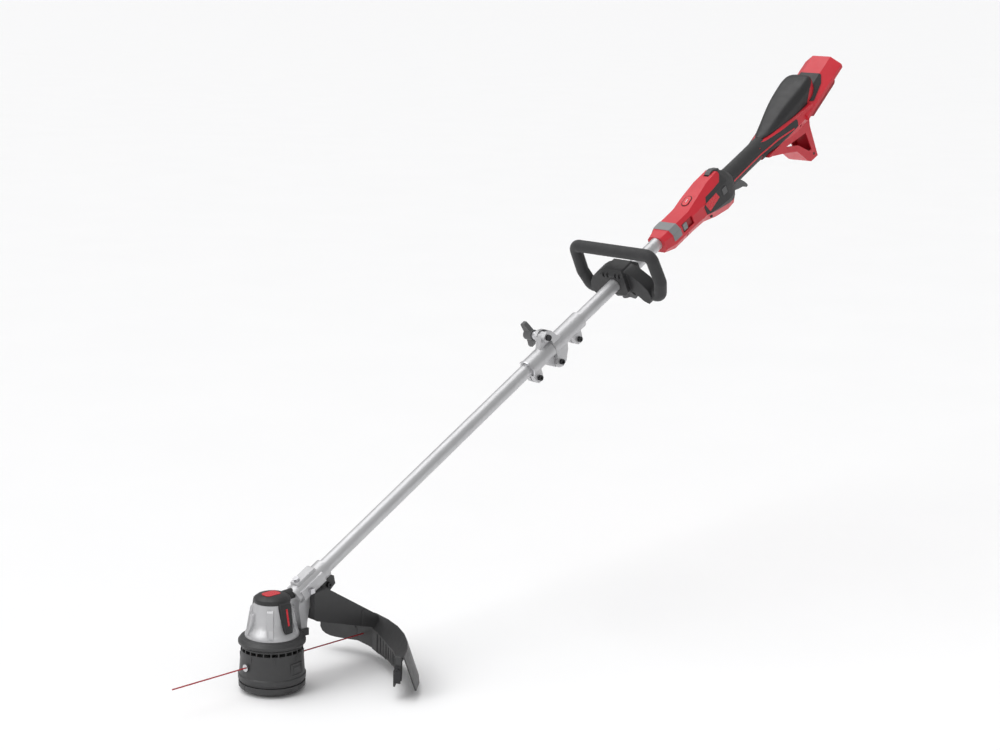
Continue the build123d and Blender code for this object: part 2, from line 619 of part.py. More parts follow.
def make_rear_handle():
    shells = make_shells()
    overmould, stripes, badges = make_overmould()
    front, core, rear, hood = shell_form(0.0)
    solid = front + core + rear + hood + plate(FOOT, -24.4, 24.4)
    parts = make_controls(shells, overmould)
    shells, overmould, power, slider, side_button, lever, lever_pin, trigger, pin = parts
    band_line = [(1122, -7), (1122, 30), (1146, 30), (1146, -7)]
    band = (plate(band_line, -40, 40) & skin(FRONT[:4], -1.0)) - front
    cover = skin(COVER, 0.0) - skin(COVER[1:-1], 2.5) - solid - grip_form(0.1)
    vent_line = [(1606, 15), (1640, 37), (1640, 60), (1674, 60), (1672, 38), (1655, 28), (1612, 13)]
    raised_hood = loft([hood_section(x, -1.5) for x in (1580, 1650, 1700)], ruled=True)
    vent = (plate(vent_line, -60, 60) & raised_hood) - solid - skin(COVER, 0.0)
    rails, terminal = make_battery_bay(solid)
    screws = []
    for x, z, half in SCREWS:
        screw = rod(1.8, 1.6 * half, (x, -half + 2, z), (0, 1, 0))
        screw += rod(3.2, 2, (x, -half + 2, z), (0, -1, 0))
        screws.append(screw)
        shells -= screw
        shells -= rod(3.2, 20, (x, -half, z), (0, -1, 0))
    x, z = TRIGGER_PIVOT
    spring = pipe(3.4, 2.0 + RUN, 2.6, (x, 6.8, z), (0, 1, 0))
    spring_seat = rod(3.6, 3.4, (x, 6.4, z), (0, 1, 0))
    overmould = overmould - pin - spring_seat
    shells = shells - pin - lever_pin - spring_seat
    near = block((1000, -80, -200), (1800, 0, 200))
    save("right_shell", shells & near, frame=SHAFT)
    save("left_shell", shells - near, frame=SHAFT)
    for screw in screws:
        overmould -= screw
    save("grip_overmould", overmould, frame=SHAFT)
    save("grip_pinstripes", stripes, frame=SHAFT)
    save("side_badges", badges, frame=SHAFT)
    save("saddle_band", band, frame=SHAFT)
    save("top_cover", cover, frame=SHAFT)
    save("vent_insert", vent, frame=SHAFT)
    save("battery_rails", *rails, frame=SHAFT)
    save("terminal_block", terminal, frame=SHAFT)
    save("housing_screws", *screws, frame=SHAFT)
    save("power_button", power, frame=SHAFT)
    save("mode_slider", slider, frame=SHAFT)
    save("side_button", side_button, frame=SHAFT)
    save("lock_off_lever", lever, frame=SHAFT)
    save("trigger", trigger, frame=SHAFT)
    save("trigger_pin", pin, lever_pin, frame=SHAFT)
    board = block((1216, -12, -20), (1272, 12, -18)) + block((1222, -8, -18), (1240, 8, -11))
    board += block((1248, -9, -18), (1264, 9, -8))
    save("control_board", board, frame=SHAFT)
    save("trigger_switch", block((1296, -8, -34), (1312, 8, -16)), frame=SHAFT)
    save("trigger_spring", spring, frame=SHAFT)


if __name__ == "__main__":
    make_cutting_head()
    motor = make_motor()
    elbow = make_cap(motor)
    bracket, bolts = make_bracket(elbow)
    make_guard(bracket, bolts)
    make_tubes()
    make_coupler()
    make_d_handle()
    make_rear_handle()
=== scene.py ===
import json
from math import cos, pi, radians, sin

import bmesh
import bpy
from mathutils import Matrix, Vector


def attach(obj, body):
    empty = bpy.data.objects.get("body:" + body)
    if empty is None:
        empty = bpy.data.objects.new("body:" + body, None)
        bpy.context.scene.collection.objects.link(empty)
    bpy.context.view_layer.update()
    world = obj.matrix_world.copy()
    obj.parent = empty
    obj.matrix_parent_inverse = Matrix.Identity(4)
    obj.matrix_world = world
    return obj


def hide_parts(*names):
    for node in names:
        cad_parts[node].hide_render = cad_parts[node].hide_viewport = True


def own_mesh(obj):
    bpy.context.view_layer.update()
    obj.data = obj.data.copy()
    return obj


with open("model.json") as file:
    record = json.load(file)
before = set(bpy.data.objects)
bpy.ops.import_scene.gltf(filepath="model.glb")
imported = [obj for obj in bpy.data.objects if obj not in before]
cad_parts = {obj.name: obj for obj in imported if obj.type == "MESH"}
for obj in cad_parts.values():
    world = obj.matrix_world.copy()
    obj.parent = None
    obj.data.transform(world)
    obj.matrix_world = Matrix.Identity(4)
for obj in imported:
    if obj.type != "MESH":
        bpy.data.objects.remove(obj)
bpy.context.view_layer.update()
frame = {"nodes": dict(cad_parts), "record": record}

MM = 0.001

# ---------------------------------------------------------------- the part's own frames, as in the CAD
KNOB_DROP = 6.0
SHAFT_ANGLE = radians(29.4)
SHAFT_HEIGHT = 115.0
LINE_Z = 42.0
CUT_RADIUS = 203.0
SHAFT = (
    Matrix.Translation((0, 0, (KNOB_DROP + SHAFT_HEIGHT) * MM))
    @ Matrix.Rotation(-SHAFT_ANGLE, 4, "Y")
    @ Matrix.Scale(MM, 4)
)
HEAD = Matrix.Translation((0, 0, KNOB_DROP * MM)) @ Matrix.Scale(MM, 4)


# ---------------------------------------------------------------- camera, floor and light
CAMERA_AT = Vector((-2.0187, -2.4214, 1.1657))
AZIMUTH, ELEVATION, ROLL = radians(-46.45), radians(11.38), radians(1.32)
LENS = 72.0


def make_camera():
    data = bpy.data.cameras.new("camera")
    data.lens = LENS
    data.sensor_width = 36.0
    data.clip_end = 1000.0
    camera = bpy.data.objects.new("camera", data)
    bpy.context.scene.collection.objects.link(camera)
    back = Vector((sin(AZIMUTH) * cos(ELEVATION), -cos(AZIMUTH) * cos(ELEVATION), sin(ELEVATION)))
    right = (-back).cross(Vector((0, 0, 1))).normalized()
    up = right.cross(-back)
    rolled_right = right * cos(ROLL) + up * sin(ROLL)
    rolled_up = up * cos(ROLL) - right * sin(ROLL)
    axes = Matrix((rolled_right, rolled_up, back)).transposed()
    camera.matrix_world = Matrix.Translation(CAMERA_AT) @ axes.to_4x4()
    bpy.context.scene.camera = camera


def make_area_light(name, at, target, size, power):
    data = bpy.data.lights.new(name, "AREA")
    data.shape = "DISK"
    data.size = size
    data.energy = power
    light = bpy.data.objects.new(name, data)
    light.location = at
    light.rotation_mode = "QUATERNION"
    light.rotation_quaternion = (Vector(target) - Vector(at)).to_track_quat("-Z", "Y")
    bpy.context.scene.collection.objects.link(light)


def make_sun(name, azimuth, elevation, strength, softness):
    """A broad soft light from a direction; azimuth turns from +X towards +Y."""
    data = bpy.data.lights.new(name, "SUN")
    data.energy = strength
    data.angle = radians(softness)
    light = bpy.data.objects.new(name, data)
    a, e = radians(azimuth), radians(elevation)
    towards = Vector((cos(a) * cos(e), sin(a) * cos(e), sin(e)))
    light.rotation_mode = "QUATERNION"
    light.rotation_quaternion = (-towards).to_track_quat("-Z", "Y")
    bpy.context.scene.collection.objects.link(light)


def make_studio():
    world = bpy.data.worlds.new("studio")
    world.use_nodes = True
    background = world.node_tree.nodes["Background"]
    background.inputs["Color"].default_value = (1.0, 1.0, 1.0, 1.0)
    background.inputs["Strength"].default_value = 0.42
    bpy.context.scene.world = world
    make_sun("overhead", 120, 68, 1.6, 60)
    make_sun("left_window", 170, 35, 0.8, 35)
    make_area_light("front_fill", (-1.6, -2.6, 2.0), (0.6, 0.0, 0.5), 1.4, 14.0)
    bpy.context.scene.view_settings.view_transform = "Standard"


# ---------------------------------------------------------------- node helpers
NOISE_ROUGHNESS = 0.55
BANDS_AT_SCALE_1 = 3.1831  # bands per metre of Blender's wave texture


class Shader:
    """A principled material under construction."""

    def __init__(self, name):
        self.material = bpy.data.materials.new(name)
        self.material.use_nodes = True
        self.tree = self.material.node_tree
        self.bsdf = self.tree.nodes["Principled BSDF"]
        self.coordinates = self.tree.nodes.new("ShaderNodeTexCoord").outputs["Object"]
        self.height = None

    def set(self, **values):
        for key, value in values.items():
            self.bsdf.inputs[key.replace("_", " ")].default_value = value
        return self

    def node(self, kind, inputs=None, **settings):
        made = self.tree.nodes.new(kind)
        for key, value in settings.items():
            setattr(made, key, value)
        for key, value in (inputs or {}).items():
            if isinstance(value, bpy.types.NodeSocket):
                self.tree.links.new(value, made.inputs[key])
            else:
                made.inputs[key].default_value = value
        return made

    def mapped(self, turn=(0, 0, 0), stretch=(1, 1, 1)):
        """Object coordinates turned into a part's own direction and stretched along it."""
        turned = self.node("ShaderNodeMapping", {"Vector": self.coordinates, "Rotation": turn})
        return self.node("ShaderNodeMapping", {"Vector": turned.outputs[0], "Scale": stretch}).outputs[0]

    def noise(self, size, detail=3.0, vector=None):
        """Soft noise whose features are about size metres across."""
        inputs = {
            "Vector": vector or self.coordinates, "Scale": 1.0 / size,
            "Detail": detail, "Roughness": NOISE_ROUGHNESS,
        }
        return self.node("ShaderNodeTexNoise", inputs).outputs[0]

    def cells(self, size, feature="F1"):
        """Distance to the middle of cells about size metres across."""
        inputs = {"Vector": self.coordinates, "Scale": 1.0 / size}
        return self.node("ShaderNodeTexVoronoi", inputs, feature=feature).outputs["Distance"]

    def wave(self, size, direction="X", vector=None, distortion=0.0):
        """Even bands, size metres from one to the next."""
        inputs = {
            "Vector": vector or self.coordinates, "Scale": 1.0 / (BANDS_AT_SCALE_1 * size),
            "Distortion": distortion,
        }
        return self.node("ShaderNodeTexWave", inputs, bands_direction=direction).outputs["Fac"]

    def ramp(self, value, low, high, out_low=0.0, out_high=1.0):
        inputs = {0: value, 1: low, 2: high, 3: out_low, 4: out_high}
        return self.node("ShaderNodeMapRange", inputs).outputs[0]

    def math(self, operation, first, second):
        return self.node("ShaderNodeMath", {0: first, 1: second}, operation=operation).outputs[0]

    def blend(self, share, first, second):
        made = self.node("ShaderNodeMix", {"Factor": share}, data_type="RGBA")
        for socket, colour in ((6, first), (7, second)):
            if isinstance(colour, bpy.types.NodeSocket):
                self.tree.links.new(colour, made.inputs[socket])
            else:
                made.inputs[socket].default_value = (*colour, 1.0)
        return made.outputs[2]

    def colour(self, socket):
        self.tree.links.new(socket, self.bsdf.inputs["Base Color"])
        return self

    def rough(self, socket):
        self.tree.links.new(socket, self.bsdf.inputs["Roughness"])
        return self

    def bump(self, height, depth, strength):
        """Raise the surface by depth metres where height is 1; several bumps add up."""
        inputs = {"Height": height, "Distance": depth, "Strength": strength}
        if self.height is not None:
            inputs["Normal"] = self.height
        self.height = self.node("ShaderNodeBump", inputs).outputs["Normal"]
        self.tree.links.new(self.height, self.bsdf.inputs["Normal"])
        return self


def shade(colour, factor):
    return tuple(min(1.0, c * factor) for c in colour)


def along_shaft(stretch):
    return {"turn": (0, SHAFT_ANGLE, 0), "stretch": stretch}


def moulded(name, colour, roughness, grain=0.0007, depth=0.00004, mottling=0.10, wear=0.25):
    """Spark-eroded moulded plastic: fine texture, slight mottling, a few pale rub marks."""
    s = Shader(name)
    s.set(Specular_IOR_Level=0.45)
    patches = s.noise(0.03, 4.0)
    tint = s.blend(patches, shade(colour, 1.0 - mottling), shade(colour, 1.0 + mottling))
    scratches = s.noise(0.004, 2.0, s.mapped((0.4, 0.5, 0.3), (1.0, 14.0, 14.0)))
    marks = s.ramp(scratches, 0.70, 0.78, 0.0, wear)
    rubbed = s.blend(marks, tint, tuple(0.55 * c + 0.10 for c in colour))
    s.colour(rubbed)
    gloss = s.ramp(s.noise(0.012, 3.0), 0.3, 0.7, roughness - 0.05, roughness + 0.07)
    s.rough(s.math("ADD", gloss, s.math("MULTIPLY", marks, 0.2)))
    s.bump(s.cells(grain), depth, 0.6)
    s.bump(s.noise(0.05, 2.0), 0.0002, 0.25)
    return s


def rubber(name, colour, pitch, depth, direction=(0, 0, 0)):
    """Soft overmould: matt, with a diagonal net of small raised pads and dust in the valleys."""
    s = Shader(name)
    s.set(Specular_IOR_Level=0.35, Sheen_Weight=0.12, Sheen_Roughness=0.5)
    turned = s.mapped(direction, (1, 1, 1))
    pads = s.math("MULTIPLY", s.wave(pitch, "DIAGONAL", turned), s.wave(pitch, "Z", turned))
    dust = s.math("MULTIPLY", s.ramp(pads, 0.0, 0.35, 1.0, 0.0), s.noise(0.02, 3.0))
    s.colour(s.blend(s.math("MULTIPLY", dust, 0.45), colour, shade(colour, 2.6)))
    s.rough(s.ramp(s.noise(0.01, 3.0), 0.3, 0.7, 0.60, 0.76))
    s.bump(pads, depth, 0.7)
    s.bump(s.noise(0.0006, 2.0), 0.00004, 0.5)
    return s


def metal(name, colour, roughness, grain, depth, vector=None, anisotropic=0.0, dull=0.12):
    """Bare metal: grain, colour drift and duller patches."""
    s = Shader(name)
    s.set(Metallic=1.0, Anisotropic=anisotropic)
    at = s.mapped(**vector) if vector else s.coordinates
    drift = s.noise(0.04, 3.0)
    s.colour(s.blend(drift, shade(colour, 0.88), shade(colour, 1.06)))
    streaks = s.noise(grain, 4.0, at)
    s.rough(s.ramp(streaks, 0.25, 0.75, roughness - dull * 0.5, roughness + dull))
    s.bump(streaks, depth, 0.6)
    return s


RED = (0.56, 0.022, 0.036)
DARK_RED = (0.30, 0.004, 0.010)
BLACK = (0.021, 0.021, 0.022)
CHARCOAL = (0.040, 0.040, 0.041)
GREY = (0.22, 0.225, 0.23)
SILVER = (0.56, 0.56, 0.57)


def cast_metal():
    s = metal("cast_aluminium", (0.54, 0.54, 0.55), 0.44, 0.0009, 0.00006, dull=0.14)
    s.set(Metallic=0.75)
    s.bump(s.cells(0.0022, feature="SMOOTH_F1"), 0.00010, 0.5)
    return s


def laminated():
    s = metal("laminated_steel", (0.36, 0.36, 0.38), 0.42, 0.0007, 0.00003)
    s.bump(s.wave(0.0007, "Z"), 0.00008, 0.8)
    return s


def board():
    s = moulded("board_green", (0.02, 0.16, 0.06), 0.3, mottling=0.2)
    s.bump(s.wave(0.0016, "X"), 0.00004, 0.6)
    return s


def winding(name, colour, pitch):
    s = moulded(name, colour, 0.32, mottling=0.25)
    s.bump(s.wave(pitch, "Z", distortion=1.5), 0.00035, 0.9)
    return s


def nylon():
    """Extruded trimmer line: smooth, a little see-through, faint draw lines."""
    s = Shader("nylon_line")
    s.set(Coat_Weight=0.25, Coat_Roughness=0.2, Subsurface_Weight=0.15, Subsurface_Scale=0.002)
    streaks = s.noise(0.0006, 3.0, s.mapped((0, 0, 0), (0.05, 1, 1)))
    s.colour(s.blend(streaks, (0.30, 0.012, 0.020), (0.48, 0.035, 0.045)))
    s.rough(s.ramp(streaks, 0.2, 0.8, 0.28, 0.45))
    s.bump(streaks, 0.00003, 0.6)
    return s


def make_materials():
    tube = metal("tube_aluminium", SILVER, 0.44, 0.0005, 0.00002, along_shaft((0.02, 1, 1)), 0.2)
    tube.set(Metallic=0.75)
    grip_turn = (0, SHAFT_ANGLE, 0)
    return {
        "red_plastic": moulded("red_plastic", RED, 0.36, wear=0.12),
        "black_plastic": moulded("black_plastic", BLACK, 0.46),
        "grey_plastic": moulded("grey_plastic", CHARCOAL, 0.44),
        "band_grey": moulded("band_grey", GREY, 0.40, grain=0.0012),
        "grip_rubber": rubber("grip_rubber", (0.026, 0.026, 0.027), 0.0011, 0.00012, grip_turn),
        "cable_rubber": moulded("cable_rubber", (0.028, 0.028, 0.029), 0.58, grain=0.0005),
        "red_trim": moulded("red_trim", (0.60, 0.018, 0.030), 0.26, depth=0.00001, wear=0.1),
        "tube_aluminium": tube,
        "cast_aluminium": cast_metal(),
        "eyelet_steel": metal("eyelet_steel", (0.60, 0.60, 0.61), 0.22, 0.0008, 0.00001, dull=0.08),
        "black_steel": metal("black_steel", (0.05, 0.05, 0.052), 0.36, 0.0006, 0.00002),
        "plain_steel": metal("plain_steel", (0.62, 0.62, 0.64), 0.28, 0.0006, 0.00002),
        "copper_winding": winding("copper_winding", (0.50, 0.16, 0.05), 0.0008),
        "laminated_steel": laminated(),
        "nylon_line": nylon(),
        "board_green": board(),
        "terminal_plastic": moulded("terminal_plastic", (0.04, 0.04, 0.042), 0.34),
        "dark_red": moulded("dark_red", DARK_RED, 0.42),
        "slot_black": moulded("slot_black", (0.006, 0.006, 0.006), 0.6),
        "knob_grey": moulded("knob_grey", (0.095, 0.095, 0.097), 0.42),
        "pale_mark": moulded("pale_mark", (0.62, 0.60, 0.60), 0.4),
    }


# ---------------------------------------------------------------- mesh helpers
def add_object(name, mesh, material, body):
    piece = bpy.data.objects.new(name, mesh)
    bpy.context.scene.collection.objects.link(piece)
    mesh.materials.clear()
    mesh.materials.append(MATERIALS[material].material)
    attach(piece, body)
    return piece


def from_bmesh(name, bm, frame_matrix, material, body, bevel=0.0, segments=3, angle=30.0):
    """Finish a bmesh drawn in millimetres in a local frame as a bevelled, smooth-shaded piece."""
    bmesh.ops.recalc_face_normals(bm, faces=bm.faces)
    mesh = bpy.data.meshes.new(name)
    bm.to_mesh(mesh)
    bm.free()
    mesh.transform(frame_matrix)
    piece = add_object(name, mesh, material, body)
    finish_edges(piece, bevel, segments, angle)
    return piece


def finish_edges(piece, bevel, segments=3, angle=30.0):
    for polygon in piece.data.polygons:
        polygon.use_smooth = True
    if bevel > 0:
        edge = piece.modifiers.new("edges", "BEVEL")
        edge.width = bevel * MM
        edge.segments = segments
        edge.limit_method = "ANGLE"
        edge.angle_limit = radians(angle)
        edge.harden_normals = False
        edge.use_clamp_overlap = True
    even = piece.modifiers.new("shading", "WEIGHTED_NORMAL")
    even.keep_sharp = True
    even.weight = 80


def ring_loft(rings, closed=False):
    """Quads between equal rings of points; open lofts get end caps."""
    bm = bmesh.new()
    rows = [[bm.verts.new(p) for p in ring] for ring in rings]
    count = len(rows[0])
    pairs = list(zip(rows, rows[1:])) + ([(rows[-1], rows[0])] if closed else [])
    for first, second in pairs:
        for i in range(count):
            j = (i + 1) % count
            bm.faces.new((first[i], first[j], second[j], second[i]))
    if not closed:
        bm.faces.new(rows[0])
        bm.faces.new(list(reversed(rows[-1])))
    return bm


def extruded(points, low, high, axis="Y"):
    """An outline in the x-z plane between two y values, or in x-y between two z values."""
    if axis == "Y":
        rings = [[(x, y, z) for x, z in points] for y in (low, high)]
    else:
        rings = [[(x, y, z) for x, y in points] for z in (low, high)]
    return ring_loft(rings)


# ---------------------------------------------------------------- CAD nodes: rounded edges and materials
EDGE = {  # bevel width in millimetres where it isn't the usual one
    "left_shell": 1.6, "right_shell": 1.6, "top_cover": 3.0, "handle_clamp": 3.0, "guard_shell": 0.8,
    "motor_housing": 1.2, "motor_cap": 1.4, "head_bracket": 2.0, "coupler_upper": 1.4, "coupler_lower": 1.4,
    "shoulder_ring": 1.2, "drum": 0.5, "spool_cover": 1.0, "latch_knob": 1.6, "handle_knob": 1.6,
    "trigger": 1.6, "lock_off_lever": 1.5, "grip_overmould": 1.2, "vent_insert": 1.0, "saddle_band": 0.8,
    "battery_rails": 1.0,
}
USUAL_EDGE = 0.35
PLAIN = {"lower_tube", "upper_tube", "bump_spring", "line_front", "line_rear", "lower_lead", "upper_lead"}
NODE_MATERIAL = {  # where the surface seen differs from the stored slot
    "battery_rails": "dark_red", "mode_slider": "band_grey", "side_button": "knob_grey",
    "power_button": "red_trim", "guard_blade": "black_steel", "guard_shell": "grey_plastic",
    "trigger": "knob_grey", "lock_off_lever": "knob_grey",
    "latch_knob": "knob_grey", "handle_knob": "knob_grey",
}


def dress_nodes():
    slots = {row["node"]: row["material_slot"] for row in frame["record"]["subparts"]}
    for name, piece in frame["nodes"].items():
        material = MATERIALS[NODE_MATERIAL.get(name, slots[name])].material
        for i in range(len(piece.material_slots)):
            piece.material_slots[i].material = material
        if not piece.material_slots:
            piece.data.materials.append(material)
        if name in PLAIN:
            continue
        weld = piece.modifiers.new("weld", "WELD")
        weld.merge_threshold = 0.00001
        flat = piece.modifiers.new("flats", "DECIMATE")
        flat.decimate_type = "DISSOLVE"
        flat.angle_limit = radians(1.0)
        finish_edges(piece, EDGE.get(name, USUAL_EDGE))


# ---------------------------------------------------------------- floor
FLOOR_REACH = 300.0  # metres each way, so that its edge is far behind the part


def make_floor():
    bm = bmesh.new()
    corners = ((-1, -1), (1, -1), (1, 1), (-1, 1))
    bm.faces.new([bm.verts.new((x * FLOOR_REACH, y * FLOOR_REACH, 0.0)) for x, y in corners])
    mesh = bpy.data.meshes.new("floor")
    bm.to_mesh(mesh)
    bm.free()
    floor = bpy.data.objects.new("floor", mesh)
    bpy.context.scene.collection.objects.link(floor)
    s = Shader("floor")
    s.colour(s.blend(s.noise(0.4, 3.0), (0.93, 0.93, 0.935), (0.96, 0.96, 0.965)))
    s.rough(s.ramp(s.noise(0.05, 3.0), 0.3, 0.7, 0.75, 0.85))
    mesh.materials.append(s.material)


# ---------------------------------------------------------------- cutting line
def make_line(name, node, side):
    """One straight end of the nylon line, from inside the eyelet out to its tip."""
    curve = bpy.data.curves.new(name, "CURVE")
    curve.dimensions = "3D"
    curve.bevel_depth = 0.0012
    curve.bevel_resolution = 5
    curve.use_fill_caps = True
    spline = curve.splines.new("NURBS")
    stations = (44.0, 70.0, 103.0, 136.0, 170.0, CUT_RADIUS)
    spline.points.add(len(stations) - 1)
    for point, x in zip(spline.points, stations):
        point.co = (side * x * MM, 0.0, (LINE_Z + KNOB_DROP) * MM, 1.0)
    spline.order_u = 3
    spline.use_endpoint_u = True
    line = bpy.data.objects.new(name, curve)
    bpy.context.scene.collection.objects.link(line)
    curve.materials.append(MATERIALS["nylon_line"].material)
    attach(line, "cutting_head")
    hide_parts(node)


# ---------------------------------------------------------------- head details
def box_rings(x0, x1, y0, y1, z0, z1):
    return [[(x, y0, z0), (x, y1, z0), (x, y1, z1), (x, y0, z1)] for x in (x0, x1)]


def join_bmesh(target, source):
    """Copy one bmesh into another and free it."""
    mesh = bpy.data.meshes.new("part")
    source.to_mesh(mesh)
    source.free()
    target.from_mesh(mesh)
    bpy.data.meshes.remove(mesh)


def curved_panel(angle, half_angle, r_in, r_out, z0, z1, steps=8):
    """A block bent round the spin axis."""
    rings = []
    for i in range(steps + 1):
        a = radians(angle - half_angle + 2 * half_angle * i / steps)
        corners = ((r_in, z0), (r_out, z0), (r_out, z1), (r_in, z1))
        rings.append([(r * cos(a), r * sin(a), z) for r, z in corners])
    return ring_loft(rings)


def make_drum_details():
    """Two raised frames and small posts round the drum, and three grips on the cover's rim."""
    panels = bmesh.new()
    for angle in (-80, 100):
        join_bmesh(panels, curved_panel(angle, 15, 51.5, 54.6, 28, 30.4))
        join_bmesh(panels, curved_panel(angle, 15, 51.0, 53.6, 46.6, 49))
        for side in (-13.6, 13.6):
            join_bmesh(panels, curved_panel(angle + side, 1.4, 51.0, 54.2, 28, 49, 2))
        join_bmesh(panels, curved_panel(angle, 9, 51.0, 53.5, 34, 43, 6))
    from_bmesh("drum_panels", panels, HEAD, "grey_plastic", "cutting_head", 0.5)
    posts = bmesh.new()
    for angle in range(10, 370, 45):
        join_bmesh(posts, curved_panel(angle, 1.0, 51.0, 52.6, 52, 61, 2))
    from_bmesh("drum_ribs", posts, HEAD, "grey_plastic", "cutting_head", 0.4)
    notch = bmesh.new()
    for angle in (-70, 50, 170):
        join_bmesh(notch, curved_panel(angle, 6, 54.0, 55.6, 2.6, 9.4, 4))
    from_bmesh("cover_grips", notch, HEAD, "grey_plastic", "cutting_head", 0.5)


def make_housing_details():
    """Upright ribs round the motor housing, wider at the foot."""
    ribs = bmesh.new()
    profile = [  # height, radius, width before thinning
        (91.5, 45.2, 5.6), (97, 44.6, 5.4), (104, 41.0, 5.2),
        (112, 38.2, 5.0), (124, 36.6, 4.8), (127, 35.0, 4.6),
    ]
    for angle in (40, 163, 228, 302):
        rings = []
        for z, r, half in profile:
            a = radians(angle)
            out, across = Vector((cos(a), sin(a), 0)), Vector((-sin(a), cos(a), 0))
            w = 0.78 * half
            rings.append([
                tuple(out * reach + across * side * w + Vector((0, 0, z)))
                for reach, side in ((27, -1), (r, -1), (r, 1), (27, 1))
            ])
        join_bmesh(ribs, ring_loft(rings))
    from_bmesh("housing_ribs", ribs, HEAD, "cast_aluminium", "lower_shaft", 0.9)


# ---------------------------------------------------------------- guard details
GUARD_R = 205.0  # the guard's inner wall
GUARD_IN, GUARD_OUT = 205.2, 207.2  # just inside that wall's two faces


def make_guard_details():
    """Ribs inside the guard's wall, lip pieces under it, its rounded far end, and a step on the spine."""
    ribs = bmesh.new()
    for i in range(15):
        angle = -10 - 3.0 * i
        near = -angle / 55.0
        top = 62 - 20 * min(1.0, near * 2.5) - 3
        low = 24 - 9 * min(1.0, near * 4) + (3 if i % 3 else 0)
        join_bmesh(ribs, curved_panel(angle, 0.35, GUARD_R - 1.4, GUARD_R + 0.6, low, top, 2))
    from_bmesh("guard_ribs", ribs, HEAD, "grey_plastic", "lower_shaft", 0.25)
    lip = bmesh.new()
    for i in range(5):
        angle = -14 - 9.0 * i
        join_bmesh(lip, curved_panel(angle, 3.2, GUARD_R - 1.2, GUARD_R + 1.0, 16.5, 19.5, 4))
    from_bmesh("guard_lip", lip, HEAD, "grey_plastic", "lower_shaft", 0.4)
    lobe = ((5, 24.6), (10, 22.6), (14, 21.8), (18, 21.4), (21, 22.4), (23.4, 25.0), (25.2, 29.5), (26.2, 37))
    rings = []
    for angle, low in lobe:
        a = radians(angle)
        corners = ((GUARD_IN, low), (GUARD_OUT, low), (GUARD_OUT, 47), (GUARD_IN, 47))
        rings.append([(r * cos(a), r * sin(a), z) for r, z in corners])
    from_bmesh("guard_end", ring_loft(rings), HEAD, "grey_plastic", "lower_shaft", 0.3)
    step = ring_loft(box_rings(176, 184, -26.4, -24.4, 66, 96))
    from_bmesh("guard_step", step, HEAD, "grey_plastic", "lower_shaft", 0.7)


# ---------------------------------------------------------------- coupler details
def make_disc(radius, socket, thickness, sides=32):
    """A screw head with a hexagonal socket, face on local +z."""
    bm = bmesh.new()
    outer = [(radius * cos(2 * pi * i / sides), radius * sin(2 * pi * i / sides)) for i in range(sides)]
    hexagon = [(socket * cos(2 * pi * i / sides), socket * sin(2 * pi * i / sides)) for i in range(sides)]
    corner = [1.0 / cos((2 * pi * i / sides + pi / 6) % (pi / 3) - pi / 6) for i in range(sides)]
    hexagon = [(x * c, y * c) for (x, y), c in zip(hexagon, corner)]
    rings = [
        [(x, y, 0.0) for x, y in outer],
        [(x, y, thickness * 0.85) for x, y in outer],
        [(x * 0.9, y * 0.9, thickness) for x, y in outer],
        [(x, y, thickness) for x, y in hexagon],
        [(x, y, thickness * 0.93) for x, y in hexagon],
    ]
    rows = [[bm.verts.new(p) for p in ring] for ring in rings]
    for first, second in zip(rows, rows[1:]):
        for i in range(sides):
            j = (i + 1) % sides
            bm.faces.new((first[i], first[j], second[j], second[i]))
    bm.faces.new(rows[-1])
    bm.faces.new(list(reversed(rows[0])))
    return bm


def make_coupler_details():
    face_near = Matrix.Translation((750, -13.05, 30)) @ Matrix.Rotation(pi / 2, 4, "X")
    cap = make_disc(5.6, 2.4, 5.6)
    from_bmesh("latch_bolt_cap", cap, SHAFT @ face_near, "black_steel", "latch", 0.2)
    # spring clip over the lower sleeve's end
    radius = 17.9
    section = ((-1.4, -0.7), (1.4, -0.7), (1.4, 0.7), (-1.4, 0.7))
    rings = []
    for i in range(17):
        a = radians(-60 + 190 * i / 16)
        centre = Vector((687.5, -radius * cos(a), radius * sin(a)))
        out = Vector((0, -cos(a), sin(a)))
        rings.append([tuple(centre + out * dy + Vector((dx, 0, 0))) for dx, dy in section])
    from_bmesh("sleeve_clip", ring_loft(rings), SHAFT, "plain_steel", "lower_shaft", 0.3)


# ---------------------------------------------------------------- rear handle details
def make_rear_details():
    recess = extruded([(1150, -9), (1189, -9), (1189, 12), (1150, 12)], -23.2, -21.8)
    from_bmesh("slider_recess", recess, SHAFT, "dark_red", "handle", 0.3)
    # power button: dark ring, red face, pale index bar
    tilt = Matrix.Translation((1213, 0, 23.2)) @ Matrix.Rotation(radians(-13), 4, "Y")
    loops = []
    for i in range(40):
        a = 2 * pi * i / 40
        cx = 5.0 if cos(a) > 0 else -5.0
        ux, uy = cos(a), sin(a)
        loops.append([(cx + r * ux, r * uy, z) for r, z in ((7.2, -1.0), (8.8, -1.0), (8.8, 0.9), (7.2, 0.9))])
    ring = ring_loft(loops, closed=True)
    from_bmesh("power_ring", ring, SHAFT @ tilt, "slot_black", "handle", 0.3)
    mark = extruded([(-4.5, 1.55), (4.5, 1.55), (4.5, 2.0), (-4.5, 2.0)], -0.9, 0.9)
    from_bmesh("power_mark", mark, SHAFT @ tilt, "pale_mark", "power", 0.15)


